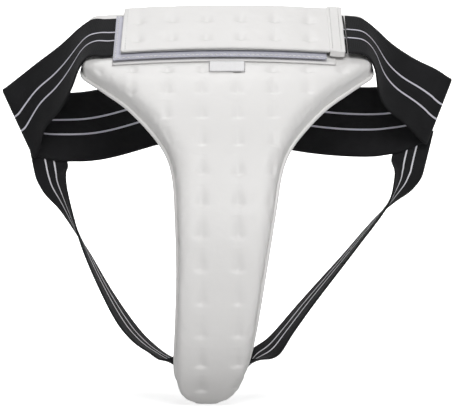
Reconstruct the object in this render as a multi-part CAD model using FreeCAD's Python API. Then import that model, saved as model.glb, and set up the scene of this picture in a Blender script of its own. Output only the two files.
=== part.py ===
import FreeCAD, Part
import math
import os

os.makedirs("parts", exist_ok=True)
Vector = FreeCAD.Vector

# Groin protector: a T-shaped padded shield on an elastic waist belt, with two elastic leg straps.
# +X is the picture right of the front view, +Y points from the shield to the back of the belt, +Z is up.
# The origin is the middle of the belt's rear face. The dimensions below are given as distance to the side of the
# middle, depth in front of the plane behind the leg strap tops, and height above the shield's lowest point; the
# parts are shifted from there to the origin when they are written.
ORIGIN_HEIGHT = 204.0

# Shield, side profile of its front face. Distances down the face start on a line TOP_MARGIN below its top edge.
TOP_LINE_Z = 268.5
TOP_LINE_DEPTH = 18.0
TOP_MARGIN = 5.0
TOP_LENGTH = 57.0
TOP_LEAN = math.radians(53.0)
BEND_RADIUS = 205.0
TIP_CURL = math.radians(57.0)
TIP_RADIUS = 84.0
LATERAL_RADIUS = 950.0
SHIELD_THICKNESS = 15.0
EDGE_ROUND = 6.0
SHIELD_LENGTH = TOP_LENGTH + BEND_RADIUS * TOP_LEAN + TIP_RADIUS * TIP_CURL
LAYER_GAP = 0.25

# Half width of the shield at distances along the front face: straight wings, leg cut-outs, tongue, tip
HALF_WIDTHS = [
    (TOP_LENGTH, 99.0), (66.0, 92.5), (80.0, 81.0), (100.0, 64.0), (128.0, 45.0), (144.0, 37.2),
    (160.0, 33.2), (180.0, 31.0), (225.0, 26.8), (265.0, 24.2), (290.0, 22.7), (306.0, 21.2),
    (317.0, 18.6), (325.0, 14.4), (SHIELD_LENGTH, 9.5),
]
LEAN_START = 150.0
LEAN_AT_TIP = 14.0

COVER = 1.0
LINING = 0.8
SHELL = 2.0
OUTER_FOAM = 5.4
PIPING_RADIUS = 1.2
PIPING_CLEARANCE = 0.45
PIPING_RINGS = 140
FOAM_INSET = 2.4
FOAM_ROUND = 4.5
SHELL_INSET = 4.0
CUT_EDGE_ROUND = 0.8

# Elastic belt and leg straps
BAND_WIDTH = 50.0
BAND_THICKNESS = 1.4
STRAP_WIDTH = 25.0
STRAP_THICKNESS = 1.4
SEWN_GAP = 0.2
STRAP_DEPTH = 0.9
BAND_DEPTH = STRAP_DEPTH + STRAP_THICKNESS / 2 + SEWN_GAP + BAND_THICKNESS / 2
FOLD_RADIUS = 2.8
ARM_DEPTH = BAND_DEPTH + 2 * FOLD_RADIUS

# Closure on the front of the shield: distances down the face, and heights above it
BAND_ON_SHIELD = (8.5, 8.5 + BAND_WIDTH)
PANEL_SPAN = (4.0, 68.0)
LOOP_SPAN = (8.0, 66.0)
HOOK_SPAN = (12.0, 56.0)
CLOSURE_SPAN = (3.5, 60.5)
PANEL_LEVELS = (0.15, 0.95)
BAND_LEVELS = (1.1, 2.5)
LOOP_LEVELS = (2.65, 3.5)
HOOK_LEVELS = (3.65, 4.55)
CLOSURE_LINING_LEVELS = (4.7, 5.3)
CLOSURE_FACE_LEVELS = (5.45, 6.9)
HEM_LEVELS = (2.9, 7.8)
ELASTIC_END_LEVELS = (3.85, 5.25)
PANEL_LEFT = -77.5
PANEL_RIGHT = 73.5
LOOP_LEFT = -77.0
LOOP_RIGHT = 67.0
HOOK_LEFT = -68.5
HOOK_RIGHT = 63.0
CLOSURE_LEFT = -71.5
CLOSURE_RIGHT = 79.5
HEM_LEFT = 69.0
HEM_WALL = 0.65
PEEL_X = 81.5
THREAD_WIDTH = 0.6
THREAD_HEIGHT = 0.2
THREAD_GAP = 0.1
TAG_WIDTH = 24.0
TAG_LENGTH = 11.0
TAG_LEAF = 0.4
TAG_SLIT = 0.3
TAG_HEIGHT = 0.5
TAG_DROP = 1.0

X = Vector(1, 0, 0)


def place(x, depth, z):
    """A point given by its distance forward of the rear plane."""
    return Vector(x, -depth, z)


def square_to(half, side):
    """Direction in the rear plane square to a fold line, pointing out of the belt loop."""
    flat = Vector(half.z, 0, -half.x)
    flat.normalize()
    return flat * side


# Folds of the belt at its two sides: middle of the fold line, half of that line, and the way out of the loop
LEFT_FOLD_HALF = place(-11.4, 0, 24.5)
RIGHT_FOLD_HALF = place(9.0, 0, 23.5)
FOLD_DEPTH = BAND_DEPTH + FOLD_RADIUS
LEFT_FOLD = place(-148.6, FOLD_DEPTH, 189.2)
RIGHT_FOLD = place(150.9, FOLD_DEPTH, 197.8)
LEFT_OUT = square_to(LEFT_FOLD_HALF, -1)
RIGHT_OUT = square_to(RIGHT_FOLD_HALF, 1)

# Rear run of the belt between the folds: x, height of its middle, sideways lean of its half width
REAR_RUN = [(-112.0, 187.2, -4.0), (-88.0, 189.5, -3.5), (-50.0, 200.0, -4.5), (-8.0, 205.0, 0.0),
            (45.0, 196.0, 2.0), (80.0, 191.5, 1.0), (108.0, 191.0, 1.5)]
REAR_RUN_RIGHT_END = (128.0, 193.5, 5.0)

# The flexing fold takes over this far beyond the end of the flat run, and ends this far beyond the fold
FIXED_REAR = 26.2
FIXED_FRONT = 6.0
SHIELD_BELT_LEFT = -85.0
SHIELD_BELT_RIGHT = 64.0

# Leg straps: x, depth, z and roll of the ribbon at points from the belt down towards the back of the shield.
# The last point of each has no roll of its own: the ribbon settles there towards its foot.
LEFT_STRAP = [
    (-131.0, STRAP_DEPTH, 185.0, 0), (-127.3, STRAP_DEPTH, 167.0, 0), (-126.0, STRAP_DEPTH, 160.5, 0),
    (-125.0, 1.9, 155.8, 2.0), (-121.8, 9.3, 146.5, 34), (-115.0, 13.5, 132.8, 62), (-100.3, 22.0, 102.8, 90),
    (-85.1, 39.0, 75.5, 100), (-67.0, 63.0, 49.5, 108), (-53.9, 80.0, 37.6, 103), (-45.5, 90.0, 33.0, 94),
    (-37.0, 98.5, 29.2, 96), (-30.5, 105.0, 25.8, None),
]
RIGHT_STRAP = [
    (135.5, STRAP_DEPTH, 187.5, 0), (131.2, STRAP_DEPTH, 170.0, 0), (129.6, STRAP_DEPTH, 163.5, 0),
    (128.5, 1.9, 158.8, 2.0), (125.0, 9.8, 150.0, 38), (119.0, 13.0, 139.8, 68), (110.0, 17.0, 128.1, 88),
    (84.9, 37.0, 99.3, 96), (54.0, 66.0, 65.4, 106), (35.0, 88.0, 44.0, 113), (23.5, 98.0, 33.2, 121),
    (13.5, 105.0, 27.0, None),
]
FOOT_HEIGHT = -(SHIELD_THICKNESS + PIPING_RADIUS + 1.0 + STRAP_THICKNESS / 2)
FOOT_STACK = STRAP_THICKNESS + LAYER_GAP
LEFT_FOOT = [(-24.0, 305.0), (-17.0, 312.0)]
RIGHT_FOOT = [(4.0, 305.5), (-4.0, 312.0)]

# Each leg strap is fixed for this far at its top and at its foot; the joint is in the gap
TOP_FIXED = 30.0
FOOT_FIXED = 22.0
FLEX_GAP = 2.0

# Cover over the strap feet: distance down the face, and half width there
PATCH_OUTLINE = [(298.0, 15.0), (306.0, 13.5), (314.0, 11.5), (321.0, 9.0)]
PATCH_THICKNESS = 1.0

# Sewing: bars through the leg strap tops, and thread rows
BARTACK_WIDTH = 1.6
BARTACK_HEIGHT = 0.3
BARTACK_SHARE = 0.8
BARTACK_AT = (4.0, 14.0)
HEM_ROWS = (70.6, 76.4)
FREE_END_ROW = CLOSURE_LEFT + 2.8
ROW_INSET = 1.5


def through(stations, at):
    """A smooth curve through (position, value) stations; values are numbers or vectors."""
    last = len(stations) - 1
    i = 0
    while i < last - 1 and at > stations[i + 1][0]:
        i += 1
    here, there = stations[i], stations[i + 1]
    span = there[0] - here[0]
    rate = (there[1] - here[1]) * (1.0 / span)
    rate_in, rate_out = rate, rate
    if i > 0:
        before = stations[i - 1]
        rate_in = (there[1] - before[1]) * (1.0 / (there[0] - before[0]))
    if i < last - 1:
        after = stations[i + 2]
        rate_out = (after[1] - here[1]) * (1.0 / (after[0] - here[0]))
    t = (at - here[0]) / span
    return (
        here[1] * (2 * t**3 - 3 * t**2 + 1)
        + rate_in * (span * (t**3 - 2 * t**2 + t))
        + there[1] * (3 * t**2 - 2 * t**3)
        + rate_out * (span * (t**3 - t**2))
    )


def profile(s):
    """Front face at distance s down from the top line: centre point, direction down the face, outward normal."""
    flat = min(s, TOP_LENGTH)
    depth = TOP_LINE_DEPTH + flat * math.sin(TOP_LEAN)
    z = TOP_LINE_Z - flat * math.cos(TOP_LEAN)
    lean = TOP_LEAN
    bend_end = TOP_LENGTH + BEND_RADIUS * TOP_LEAN
    if s > TOP_LENGTH:
        lean = TOP_LEAN - (min(s, bend_end) - TOP_LENGTH) / BEND_RADIUS
        depth += BEND_RADIUS * (math.cos(lean) - math.cos(TOP_LEAN))
        z -= BEND_RADIUS * (math.sin(TOP_LEAN) - math.sin(lean))
    if s > bend_end:
        lean = -(s - bend_end) / TIP_RADIUS
        depth -= TIP_RADIUS * (1 - math.cos(lean))
        z += TIP_RADIUS * math.sin(lean)
    down = Vector(0, -math.sin(lean), -math.cos(lean))
    outward = Vector(0, -math.cos(lean), math.sin(lean))
    return place(0, depth, z), down, outward


def on_shield(x, s, height):
    """A point x to the side of the centre line, s down the face, at a height above the front face."""
    centre, _, outward = profile(s)
    angle = x / LATERAL_RADIUS
    reach = LATERAL_RADIUS + height
    return centre + X * (reach * math.sin(angle)) + outward * (reach * math.cos(angle) - LATERAL_RADIUS)


def half_width(s):
    return HALF_WIDTHS[0][1] if s <= TOP_LENGTH else through(HALF_WIDTHS, s)


def centre_offset(s):
    """The tongue leans a little towards -X on its way down."""
    if s <= LEAN_START:
        return 0.0
    return -LEAN_AT_TIP * ((s - LEAN_START) / (SHIELD_LENGTH - LEAN_START)) ** 1.6


def inset_half_width(s, inset):
    """Half width of an outline moved inwards by inset, measured square to the edge."""
    if s <= TOP_LENGTH:
        return half_width(s) - inset
    step = 0.5
    slope = (half_width(min(s + step, SHIELD_LENGTH)) - half_width(s - step)) / (2 * step)
    return half_width(s) - inset * math.sqrt(1 + slope * slope)


def edge_drop(distance, radius):
    """How far a rounded edge has fallen at this distance in from it."""
    if distance >= radius:
        return 0.0
    return radius - math.sqrt(radius**2 - (radius - distance) ** 2)


def shield_section(s, front, back, half, offset, radius):
    """Closed wire across the shield: front arc, two rounded front corners, two walls, back arc."""
    def point(side, inwards, height):
        return on_shield(offset + side * (half - inwards), s, height)

    corner = radius * (1 - math.sqrt(0.5))
    right = [point(1, radius, front), point(1, corner, front - corner), point(1, 0, front - radius)]
    left = [point(-1, 0, front - radius), point(-1, corner, front - corner), point(-1, radius, front)]
    right_back, left_back = point(1, 0, back), point(-1, 0, back)
    edges = [
        Part.Arc(left[2], on_shield(offset, s, front), right[0]).toShape(),
        Part.Arc(*right).toShape(),
        Part.makeLine(right[2], right_back),
        Part.Arc(right_back, on_shield(offset, s, back), left_back).toShape(),
        Part.makeLine(left_back, left[0]),
        Part.Arc(*left).toShape(),
    ]
    return Part.Wire(edges)


def shield_layer(front, back, inset, radius):
    """One layer of the shield between two heights, inset from the outline, with rounded front edges."""
    first, last = inset - TOP_MARGIN, SHIELD_LENGTH - inset
    plan = max(EDGE_ROUND - inset, radius)
    top = [first, first + plan * 0.08, first + plan * 0.35, first + plan, TOP_LENGTH]
    rest = [TOP_LENGTH] + [s for s, _ in HALF_WIDTHS[1:-2]] + [last - 4.0, last - 1.5, last]
    solids = []
    for stations, ruled in ((top[:4], False), (top[3:], True), (rest, False)):
        sections = []
        for s in stations:
            drop = max(edge_drop(s - first, radius), edge_drop(last - s, radius * 0.6))
            half = inset_half_width(s, inset) - edge_drop(s - first, plan)
            corner = min(radius, half * 0.7, (front - drop - back) * 0.6)
            sections.append(shield_section(s, front - drop, back, half, centre_offset(s), corner))
        solids.append(Part.makeLoft(sections, True, ruled))
    return solids[0].fuse(solids[1:])


def front_cover():
    outer = shield_layer(0, LINING + LAYER_GAP - SHIELD_THICKNESS, 0, EDGE_ROUND)
    inner = shield_layer(-COVER, -SHIELD_THICKNESS - 1, COVER, EDGE_ROUND - COVER)
    return outer.cut(inner)


def rim_points(side, gap, height):
    """Points round one side of the rim from the middle of the top edge down to the tip."""
    down = profile(0)[1]
    corner_x = half_width(0) - EDGE_ROUND
    points = []
    for part in (0.01, 0.25, 0.5, 0.75, 0.95):
        points.append(on_shield(side * corner_x * part, 0, height) - down * (TOP_MARGIN + gap))
    for degrees in (15, 35, 55, 75, 90):
        turn = math.radians(degrees)
        x = corner_x + (EDGE_ROUND + gap) * math.sin(turn)
        up = EDGE_ROUND - (EDGE_ROUND + gap) * math.cos(turn)
        points.append(on_shield(side * x, 0, height) + down * (up - TOP_MARGIN))
    for s in [TOP_LENGTH * 0.4, TOP_LENGTH * 0.7] + [s for s, _ in HALF_WIDTHS[:-1]]:
        points.append(on_shield(centre_offset(s) + side * inset_half_width(s, -gap), s, height))
    diagonal = gap * math.sqrt(0.5)
    tip_corner_x = centre_offset(SHIELD_LENGTH) + side * (half_width(SHIELD_LENGTH) + diagonal)
    points.append(on_shield(tip_corner_x, SHIELD_LENGTH, height) + profile(SHIELD_LENGTH)[1] * diagonal)
    return points


def cord(points, radius, count):
    """Round cord along a smooth curve through the points."""
    run = [0.0]
    for a, b in zip(points, points[1:]):
        run.append(run[-1] + a.distanceToPoint(b))
    path = list(zip(run, points))
    step = 0.2
    rings = []
    side = Vector(0, -1, 1)
    for i in range(count + 1):
        at = run[-1] * i / count
        centre = through(path, at)
        ahead = through(path, min(at + step, run[-1])) - through(path, max(at - step, 0.0))
        up = ahead.cross(side)
        up.normalize()
        side = up.cross(ahead)
        side.normalize()
        corners = [up * radius, side * radius, up * -radius, side * -radius]
        halves = [
            Part.Arc(centre + corners[0], centre + corners[1], centre + corners[2]).toShape(),
            Part.Arc(centre + corners[2], centre + corners[3], centre + corners[0]).toShape(),
        ]
        rings.append(Part.Wire(halves))
    return Part.makeLoft(rings, True, False)


def piping():
    """Cord sewn round the rim, where cover and lining meet; its ends meet in the middle of the top edge."""
    height = -SHIELD_THICKNESS + LINING + PIPING_RADIUS
    gap = PIPING_RADIUS + PIPING_CLEARANCE
    tip = on_shield(centre_offset(SHIELD_LENGTH), SHIELD_LENGTH, height) + profile(SHIELD_LENGTH)[1] * gap
    around = rim_points(-1, gap, height) + [tip] + rim_points(1, gap, height)[::-1]
    return cord(around, PIPING_RADIUS, PIPING_RINGS)


def strip(x_from, x_to, span, levels):
    """Flat piece lying on the upper shield: a curved bar between two heights, run straight down the face."""
    s_from, s_to = span
    low, high = levels
    down = profile(0)[1]
    mid = (x_from + x_to) / 2
    ring = [(x_from, low), (mid, low), (x_to, low), (x_to, high), (mid, high), (x_from, high)]
    corners = [on_shield(x, 0, height) + down * s_from for x, height in ring]
    edges = [
        Part.Arc(corners[0], corners[1], corners[2]).toShape(),
        Part.makeLine(corners[2], corners[3]),
        Part.Arc(corners[3], corners[4], corners[5]).toShape(),
        Part.makeLine(corners[5], corners[0]),
    ]
    return Part.Face(Part.Wire(edges)).extrude(down * (s_to - s_from))


def rectangle(centre, half, normal, thickness):
    """Cross-section of a ribbon from its half-width vector and its face normal."""
    rise = normal * (thickness / 2)
    near, far = centre - rise, centre + rise
    return Part.makePolygon([near - half, near + half, far + half, far - half, near - half])


def ribbon(stations, thickness, first=0.0, last=None, count=12):
    """Twisting ribbon through (centre, half-width vector) stations, between two distances along them."""
    run = [0.0]
    for a, b in zip(stations, stations[1:]):
        run.append(run[-1] + a[0].distanceToPoint(b[0]))
    centres = [(r, station[0]) for r, station in zip(run, stations)]
    halves = [(r, station[1]) for r, station in zip(run, stations)]
    begin, end = first, run[-1] if last is None else last
    wires = []
    step = 0.2
    for i in range(count + 1):
        at = begin + (end - begin) * i / count
        ahead = through(centres, min(at + step, run[-1]))
        behind = through(centres, max(at - step, 0.0))
        half = through(halves, at)
        normal = (ahead - behind).cross(half)
        normal.normalize()
        wires.append(rectangle(through(centres, at), half, normal, thickness))
    return Part.makeLoft(wires, True, False)


def ribbon_length(stations):
    return sum(a[0].distanceToPoint(b[0]) for a, b in zip(stations, stations[1:]))


def fold_stations(apex, half, outward):
    """Half circle of the belt at a fold, from the rear run to the front run."""
    axis_point = apex - outward * FOLD_RADIUS
    stations = []
    for degrees in (0, 45, 90, 135, 180):
        turn = math.radians(degrees)
        swing = outward * math.sin(turn) + Vector(0, 1, 0) * math.cos(turn)
        stations.append((axis_point + swing * FOLD_RADIUS, half))
    return stations


def rear_station(entry):
    x, z, lean = entry
    half = place(lean, 0, math.sqrt((BAND_WIDTH / 2) ** 2 - lean**2))
    return place(x, BAND_DEPTH, z), half


def rear_band():
    """Flat rear run of the belt, cut from a sheet lying in the rear plane."""
    stations = [rear_station(entry) for entry in REAR_RUN]
    front = Vector(0, -BAND_THICKNESS / 2, 0)
    upper, lower = Part.BSplineCurve(), Part.BSplineCurve()
    upper.interpolate(Points=[c + h - front for c, h in stations])
    lower.interpolate(Points=[c - h - front for c, h in stations])
    ends = []
    for centre, half in (stations[0], stations[-1]):
        ends.append(Part.makeLine(centre - half - front, centre + half - front))
    face = Part.Face(Part.Wire(Part.__sortEdges__([upper.toShape(), ends[0], lower.toShape(), ends[1]])))
    return face.extrude(front * 2)


def arm_half(rise, depth, lean=0.0):
    return place(lean, -depth, rise)


def left_arm_stations():
    """Left side of the belt, from the rear run round the fold to the wing of the shield."""
    stations = [
        rear_station(REAR_RUN[0]),
        (place(-129.0, BAND_DEPTH, 187.3), place(-8.0, 0, 24.6)),
        (place(-142.2, BAND_DEPTH, 189.5), place(-10.8, 0, 24.5)),
    ]
    stations += fold_stations(LEFT_FOLD, LEFT_FOLD_HALF, LEFT_OUT)
    stations += [
        (place(-137.8, 13.5, 203.8), arm_half(18.6, 8.0, -10.5)),
        (place(-125.3, 20.0, 214.8), arm_half(18.4, 13.0, -9.0)),
        (place(-112.5, 29.0, 227.8), arm_half(17.0, 17.0, -5.5)),
        (place(-102.3, 38.4, 240.4), arm_half(16.0, 19.0, -1.5)),
        (on_shield(-93.5, 33.5, 3.0), arm_half(15.05, 19.97)),
    ]
    return stations


def band_end(x, level):
    """Where the belt lies flat on the shield: its centre and half width."""
    centre = on_shield(x, sum(BAND_ON_SHIELD) / 2, level)
    return centre, profile(0)[1] * (-BAND_WIDTH / 2)


def waistband():
    """Rear run, left side and front end of the belt, which stay with the shield."""
    flat = strip(SHIELD_BELT_LEFT, SHIELD_BELT_RIGHT, BAND_ON_SHIELD, BAND_LEVELS)
    stations = left_arm_stations() + [band_end(SHIELD_BELT_LEFT, sum(BAND_LEVELS) / 2)]
    arm = ribbon(stations, BAND_THICKNESS, count=60)
    return rear_band().fuse([arm, flat, right_rear_end()])


def right_rear_stations():
    start = [rear_station(REAR_RUN[-1]), rear_station(REAR_RUN_RIGHT_END)]
    return start + fold_stations(RIGHT_FOLD, RIGHT_FOLD_HALF, RIGHT_OUT)


def right_arm_stations():
    """Right side of the belt, from the front of its fold to the hem of the closure strap."""
    return fold_stations(RIGHT_FOLD, RIGHT_FOLD_HALF, RIGHT_OUT)[-1:] + [
        (place(136.4, 14.0, 208.5), arm_half(20.0, 8.5, 12.0)),
        (place(122.5, 20.5, 216.5), arm_half(19.0, 13.0, 11.0)),
        (place(111.0, 28.5, 226.5), arm_half(18.6, 15.5, 6.5)),
        (place(102.3, 38.4, 240.4), arm_half(16.0, 19.0, 1.5)),
        (on_shield(93.5, 33.5, 3.8), arm_half(15.05, 19.97)),
        band_end(PEEL_X + 0.5, sum(ELASTIC_END_LEVELS) / 2),
    ]


def right_rear_end():
    return ribbon(right_rear_stations(), BAND_THICKNESS, last=FIXED_REAR, count=6)


def waistband_fold():
    """The soft fold that flexes when the belt is opened."""
    stations = right_rear_stations() + right_arm_stations()[1:]
    end = ribbon_length(right_rear_stations()) + FIXED_FRONT
    return ribbon(stations, BAND_THICKNESS, first=FIXED_REAR + LAYER_GAP, last=end - LAYER_GAP, count=14)


def waistband_arm():
    return ribbon(right_arm_stations(), BAND_THICKNESS, first=FIXED_FRONT, count=22)


def strap_half(down, roll, side):
    """Half-width vector of a leg strap: square to its run, turned about it by the roll angle."""
    down = Vector(down)
    down.normalize()
    across = Vector(0, 1, 0).cross(down)
    across.normalize()
    behind = across.cross(down)
    behind.normalize()
    if behind.y < 0:
        behind = behind * -1
    turn = math.radians(roll)
    return (across * (side * math.cos(turn)) + behind * math.sin(turn)) * (STRAP_WIDTH / 2)


def strap_stations(run, side, foot, height):
    """Stations of a leg strap, ending in a flat foot sewn to the back of the shield at a slant."""
    points = [place(x, depth, z) for x, depth, z, _ in run] + [on_shield(x, s, height) for x, s in foot]
    halves = []
    for i, (_, _, _, roll) in enumerate(run[:-1]):
        halves.append(strap_half(points[i + 1] - points[max(i - 1, 0)], roll, side))
    foot_half = (points[-1] - points[-2]).cross(profile(foot[0][1])[2])
    foot_half.normalize()
    foot_half = foot_half * (side * STRAP_WIDTH / 2)
    settling = halves[-1] + foot_half
    settling.normalize()
    halves += [settling * (STRAP_WIDTH / 2), foot_half, foot_half]
    return list(zip(points, halves))


LEFT_STATIONS = strap_stations(LEFT_STRAP, 1, LEFT_FOOT, FOOT_HEIGHT)
RIGHT_STATIONS = strap_stations(RIGHT_STRAP, -1, RIGHT_FOOT, FOOT_HEIGHT - FOOT_STACK)

def strap_top(stations):
    return ribbon(stations, STRAP_THICKNESS, last=TOP_FIXED, count=8)


def strap_middle(stations):
    last = ribbon_length(stations) - FOOT_FIXED - FLEX_GAP
    return ribbon(stations, STRAP_THICKNESS, TOP_FIXED + FLEX_GAP, last, count=24)


def strap_foot(stations):
    return ribbon(stations, STRAP_THICKNESS, first=ribbon_length(stations) - FOOT_FIXED, count=8)


def anchor_patch():
    """Cover sewn over both strap feet on the back of the shield."""
    near = FOOT_HEIGHT - FOOT_STACK - STRAP_THICKNESS / 2 - 2 * LAYER_GAP
    far = near - PATCH_THICKNESS
    middle = (LEFT_FOOT[1][0] + RIGHT_FOOT[1][0]) / 2
    sections = []
    for s, half in PATCH_OUTLINE:
        ring = [(-half, near), (half, near), (half, far), (-half, far), (-half, near)]
        sections.append(Part.makePolygon([on_shield(middle + x, s, height) for x, height in ring]))
    return Part.makeLoft(sections, True, False)


def strap_bartacks():
    """Dense stitch bars through the leg strap tops, on the rear of the belt."""
    bars = []
    for stations in (LEFT_STATIONS, RIGHT_STATIONS):
        centre, half = stations[0]
        down = stations[1][0] - centre
        down.normalize()
        for distance in BARTACK_AT:
            middle = centre + down * distance
            middle.y = -(STRAP_DEPTH - STRAP_THICKNESS / 2 - THREAD_GAP)
            bar = rectangle(middle, half * BARTACK_SHARE, down, BARTACK_WIDTH)
            bars.append(Part.Face(bar).extrude(Vector(0, BARTACK_HEIGHT, 0)))
    return Part.makeCompound(bars)


def closure_hem():
    """Binding that wraps the root of the closure strap and the end of the elastic."""
    low, high = HEM_LEVELS
    s_from, s_to = CLOSURE_SPAN
    reach = LAYER_GAP + HEM_WALL
    outer = strip(HEM_LEFT, CLOSURE_RIGHT, (s_from - reach, s_to + reach), HEM_LEVELS)
    hollow = (s_from - LAYER_GAP, s_to + LAYER_GAP)
    inner = strip(HEM_LEFT - 1, CLOSURE_RIGHT + 1, hollow, (low + HEM_WALL, high - HEM_WALL))
    return outer.cut(inner)


def thread_on(level):
    return (level + THREAD_GAP, level + THREAD_GAP + THREAD_HEIGHT)


def closure_stitching():
    """Thread rows on the closure strap: two across the hem and one near its free end."""
    s_from, s_to = CLOSURE_SPAN
    span = (s_from + ROW_INSET, s_to - ROW_INSET)
    rows = [strip(x, x + THREAD_WIDTH, span, thread_on(HEM_LEVELS[1])) for x in HEM_ROWS]
    rows.append(strip(FREE_END_ROW, FREE_END_ROW + THREAD_WIDTH, span, thread_on(CLOSURE_FACE_LEVELS[1])))
    return Part.makeCompound(rows)


def panel_stitching():
    """Thread rows that hold the loop tape and the belt end to the panel and the shield."""
    levels = thread_on(LOOP_LEVELS[1])
    s_from, s_to = LOOP_SPAN[0] + ROW_INSET, LOOP_SPAN[1] - ROW_INSET
    x_from, x_to = LOOP_LEFT + ROW_INSET, LOOP_RIGHT - ROW_INSET
    upper = strip(x_from + 2 * THREAD_WIDTH, x_to, (s_from, s_from + THREAD_WIDTH), levels)
    lower = strip(x_from + 2 * THREAD_WIDTH, x_to, (s_to - THREAD_WIDTH, s_to), levels)
    end = strip(x_from, x_from + THREAD_WIDTH, (s_from, s_to), levels)
    return Part.makeCompound([upper, lower, end])


def size_tag():
    """Blank woven tag folded double, hanging from the lower edge of the panel."""
    centre, down, outward = profile(PANEL_SPAN[1])
    root = centre + outward * TAG_HEIGHT + down * TAG_DROP - X * (TAG_WIDTH / 2)
    near, far = TAG_LEAF, TAG_LEAF + TAG_SLIT
    fold = TAG_LENGTH - TAG_LEAF
    outline = [(0, 0), (TAG_LENGTH, 0), (TAG_LENGTH, far + TAG_LEAF), (0, far + TAG_LEAF),
               (0, far), (fold, far), (fold, near), (0, near), (0, 0)]
    face = Part.Face(Part.makePolygon([root + down * along + outward * height for along, height in outline]))
    return face.extrude(X * TAG_WIDTH)


# Heights of the layers behind the front face
FOAM_FRONT = -COVER - LAYER_GAP
FOAM_BACK = FOAM_FRONT - OUTER_FOAM
SHELL_FRONT = FOAM_BACK - LAYER_GAP
SHELL_BACK = SHELL_FRONT - SHELL
LINING_FRONT = LINING - SHIELD_THICKNESS

nodes = {
    "front_cover": front_cover(),
    "outer_foam": shield_layer(FOAM_FRONT, FOAM_BACK, FOAM_INSET, FOAM_ROUND),
    "cup_shell": shield_layer(SHELL_FRONT, SHELL_BACK, SHELL_INSET, CUT_EDGE_ROUND),
    "inner_foam": shield_layer(
        SHELL_BACK - LAYER_GAP, LINING_FRONT + LAYER_GAP, COVER + 2 * LAYER_GAP, CUT_EDGE_ROUND
    ),
    "back_lining": shield_layer(LINING_FRONT, -SHIELD_THICKNESS, 0.0, LAYER_GAP),
    "edge_piping": piping(),
    "closure_panel": strip(PANEL_LEFT, PANEL_RIGHT, PANEL_SPAN, PANEL_LEVELS),
    "loop_tape": strip(LOOP_LEFT, LOOP_RIGHT, LOOP_SPAN, LOOP_LEVELS),
    "panel_stitching": panel_stitching(),
    "waistband": waistband(),
    "waistband_fold": waistband_fold(),
    "waistband_arm": waistband_arm(),
    "strap_face": strip(CLOSURE_LEFT, CLOSURE_RIGHT, CLOSURE_SPAN, CLOSURE_FACE_LEVELS),
    "strap_lining": strip(CLOSURE_LEFT, HEM_LEFT - LAYER_GAP, CLOSURE_SPAN, CLOSURE_LINING_LEVELS),
    "hook_tape": strip(HOOK_LEFT, HOOK_RIGHT, HOOK_SPAN, HOOK_LEVELS),
    "strap_hem": closure_hem(),
    "elastic_end": strip(
        HEM_LEFT + 2 * LAYER_GAP, PEEL_X - 2 * LAYER_GAP, BAND_ON_SHIELD, ELASTIC_END_LEVELS
    ),
    "strap_stitching": closure_stitching(),
    "left_strap_top": strap_top(LEFT_STATIONS),
    "left_leg_strap": strap_middle(LEFT_STATIONS),
    "left_strap_foot": strap_foot(LEFT_STATIONS),
    "right_strap_top": strap_top(RIGHT_STATIONS),
    "right_leg_strap": strap_middle(RIGHT_STATIONS),
    "right_strap_foot": strap_foot(RIGHT_STATIONS),
    "strap_bartacks": strap_bartacks(),
    "anchor_patch": anchor_patch(),
    "size_tag": size_tag(),
}
to_origin = Vector(0, BAND_DEPTH - BAND_THICKNESS / 2, -ORIGIN_HEIGHT)
for name, shape in nodes.items():
    shape.translate(to_origin)
    shape.exportStep("parts/" + name + ".step")
    box = shape.BoundBox
    print(f"{name:18s} solids {len(shape.Solids)} valid {shape.isValid()} volume {shape.Volume:10.1f}", end=" ")
    print(f"x {box.XMin:.1f} {box.XMax:.1f} y {box.YMin:.1f} {box.YMax:.1f} z {box.ZMin:.1f} {box.ZMax:.1f}")
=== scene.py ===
import math

import bmesh
import bpy
import numpy as np
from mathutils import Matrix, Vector, noise
from mathutils.bvhtree import BVHTree
from mathutils.kdtree import KDTree


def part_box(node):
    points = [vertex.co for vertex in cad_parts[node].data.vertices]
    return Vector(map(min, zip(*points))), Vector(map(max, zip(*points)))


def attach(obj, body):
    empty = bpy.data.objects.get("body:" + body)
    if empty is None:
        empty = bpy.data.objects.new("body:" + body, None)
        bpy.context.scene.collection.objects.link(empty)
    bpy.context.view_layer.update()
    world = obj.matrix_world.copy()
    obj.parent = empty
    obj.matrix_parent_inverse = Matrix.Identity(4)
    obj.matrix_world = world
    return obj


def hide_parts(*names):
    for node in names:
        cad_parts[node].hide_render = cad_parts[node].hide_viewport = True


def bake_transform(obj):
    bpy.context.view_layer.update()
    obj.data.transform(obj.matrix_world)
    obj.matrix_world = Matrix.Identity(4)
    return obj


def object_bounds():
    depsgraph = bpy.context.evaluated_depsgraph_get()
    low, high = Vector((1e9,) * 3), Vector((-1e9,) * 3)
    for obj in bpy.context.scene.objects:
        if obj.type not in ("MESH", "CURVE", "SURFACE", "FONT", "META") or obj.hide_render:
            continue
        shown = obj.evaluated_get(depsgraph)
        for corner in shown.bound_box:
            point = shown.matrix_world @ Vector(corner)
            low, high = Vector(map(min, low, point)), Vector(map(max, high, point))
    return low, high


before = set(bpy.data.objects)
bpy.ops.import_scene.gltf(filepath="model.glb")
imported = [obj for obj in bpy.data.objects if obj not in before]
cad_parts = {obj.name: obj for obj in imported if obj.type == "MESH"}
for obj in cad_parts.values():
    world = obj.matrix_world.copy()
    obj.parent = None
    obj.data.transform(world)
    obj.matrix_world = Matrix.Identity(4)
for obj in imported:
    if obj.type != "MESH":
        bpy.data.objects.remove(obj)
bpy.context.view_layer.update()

MM = 0.001
SHIELD = "shield"
WELD = 0.01

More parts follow.
